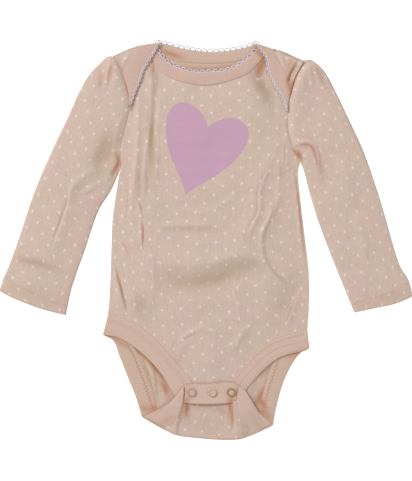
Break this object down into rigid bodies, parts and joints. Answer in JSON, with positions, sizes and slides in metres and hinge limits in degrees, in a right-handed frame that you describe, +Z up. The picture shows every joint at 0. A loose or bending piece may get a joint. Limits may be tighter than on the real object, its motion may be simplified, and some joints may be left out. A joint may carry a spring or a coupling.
{
  "type": "baby onesie",
  "caption": "Long-sleeved baby bodysuit laid flat, lap shoulders with picot-edged rib neck, gathered sleeve heads, rib leg openings and a snapped crotch tab.",
  "frame": {"origin": "on the surface under the middle of the lay", "axes": "+Z up from the surface, +Y towards the neck, +X towards the right as seen from above"},
  "size_m": [0.413, 0.3996, 0.006],
  "materials": {
    "jersey": "peach cotton jersey with small white dots in staggered rows, matt, slightly napped",
    "rib": "plain peach rib knit, fine ribs across the strip, matt",
    "trim": "white crocheted picot edging, matt",
    "snap": "satin beige enamelled ring snap"
  },
  "bodies": {
    "root": {"front_panel": "jersey", "back_panel": "jersey", "sleeve_left": "jersey", "sleeve_right": "jersey", "neck_binding_front": "rib", "neck_binding_back": "rib", "leg_binding_left": "rib", "leg_binding_right": "rib", "placket": "rib", "picot_neck_front": "trim", "picot_neck_back": "trim", "picot_lap_left": "trim", "picot_lap_right": "trim", "snap_left": "snap", "snap_middle": "snap", "snap_right": "snap"}
  },
  "joints": []
}
